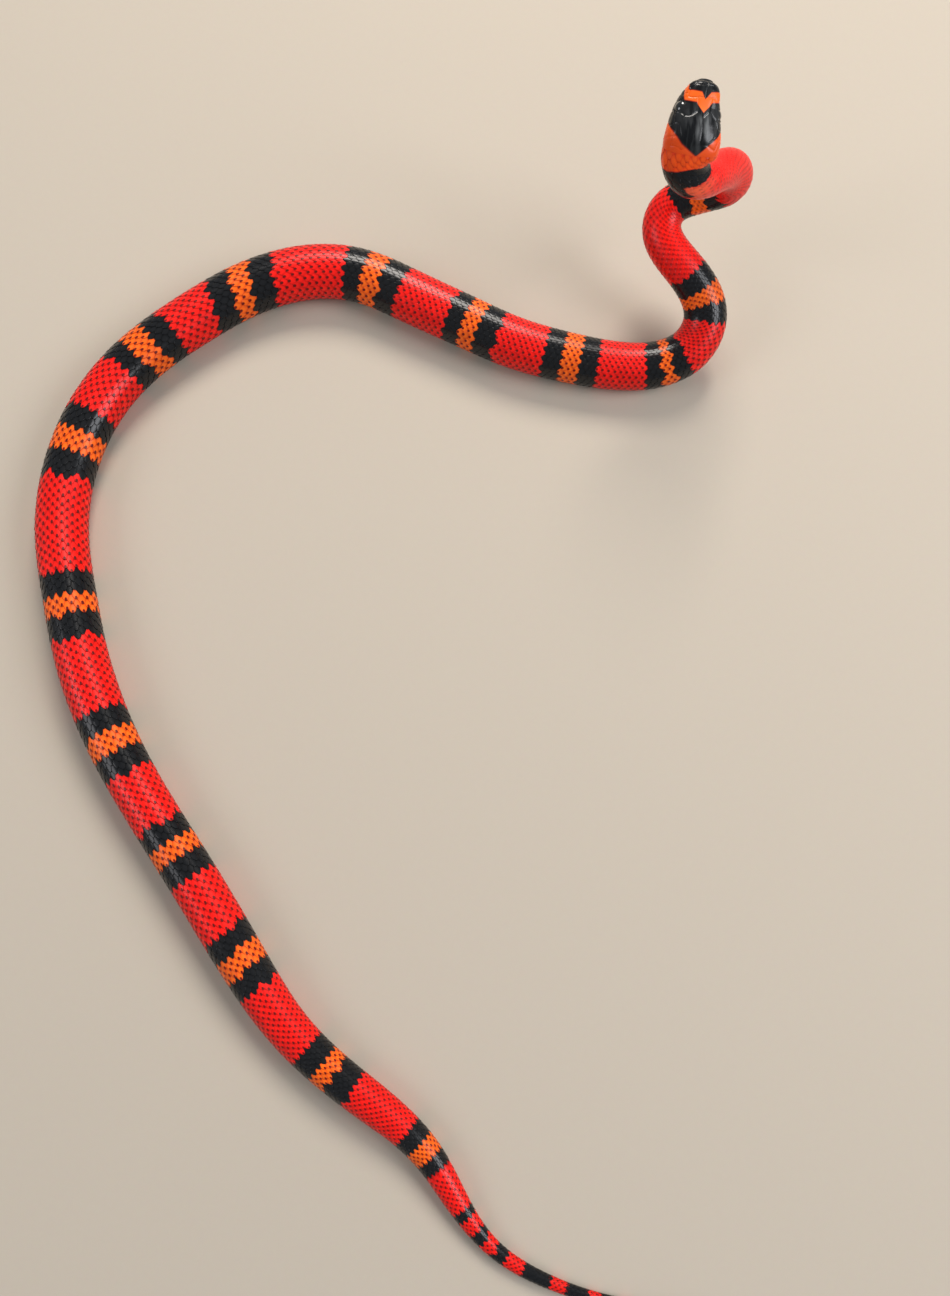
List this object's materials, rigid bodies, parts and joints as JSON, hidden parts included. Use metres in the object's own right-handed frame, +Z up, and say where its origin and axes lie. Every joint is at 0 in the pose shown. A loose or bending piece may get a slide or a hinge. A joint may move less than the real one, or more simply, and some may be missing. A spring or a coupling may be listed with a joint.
{
  "type": "milk snake",
  "caption": "Life-size still model of a banded milk snake lying in a long curve, with the neck raised in a tight loop and the head held level above it.",
  "frame": {"origin": "on the floor, at the middle of the animal's overall box", "axes": "+Z up; +Y the way the head points, along the longest overall extent; +X to the right as seen from above with the head at the far end"},
  "size_m": [0.2538, 0.3799, 0.0979],
  "materials": {
    "skin_red": "smooth glossy scales, red, black and orange in rings",
    "skin_orange": "smooth glossy scales, orange",
    "skin_black": "large smooth glossy plates, black",
    "eye": "clear wet gloss over a dark iris"
  },
  "bodies": {
    "root": {"head": "skin_black", "lower_jaw": "skin_orange", "eye_left": "eye", "eye_right": "eye", "neck": "skin_orange", "trunk_1": "skin_red", "trunk_2": "skin_red", "trunk_3": "skin_red", "trunk_4": "skin_red", "trunk_5": "skin_red", "trunk_6": "skin_red", "trunk_7": "skin_red", "trunk_8": "skin_red", "trunk_9": "skin_red", "trunk_10": "skin_red", "tail_1": "skin_red", "tail_2": "skin_red"}
  },
  "joints": []
}
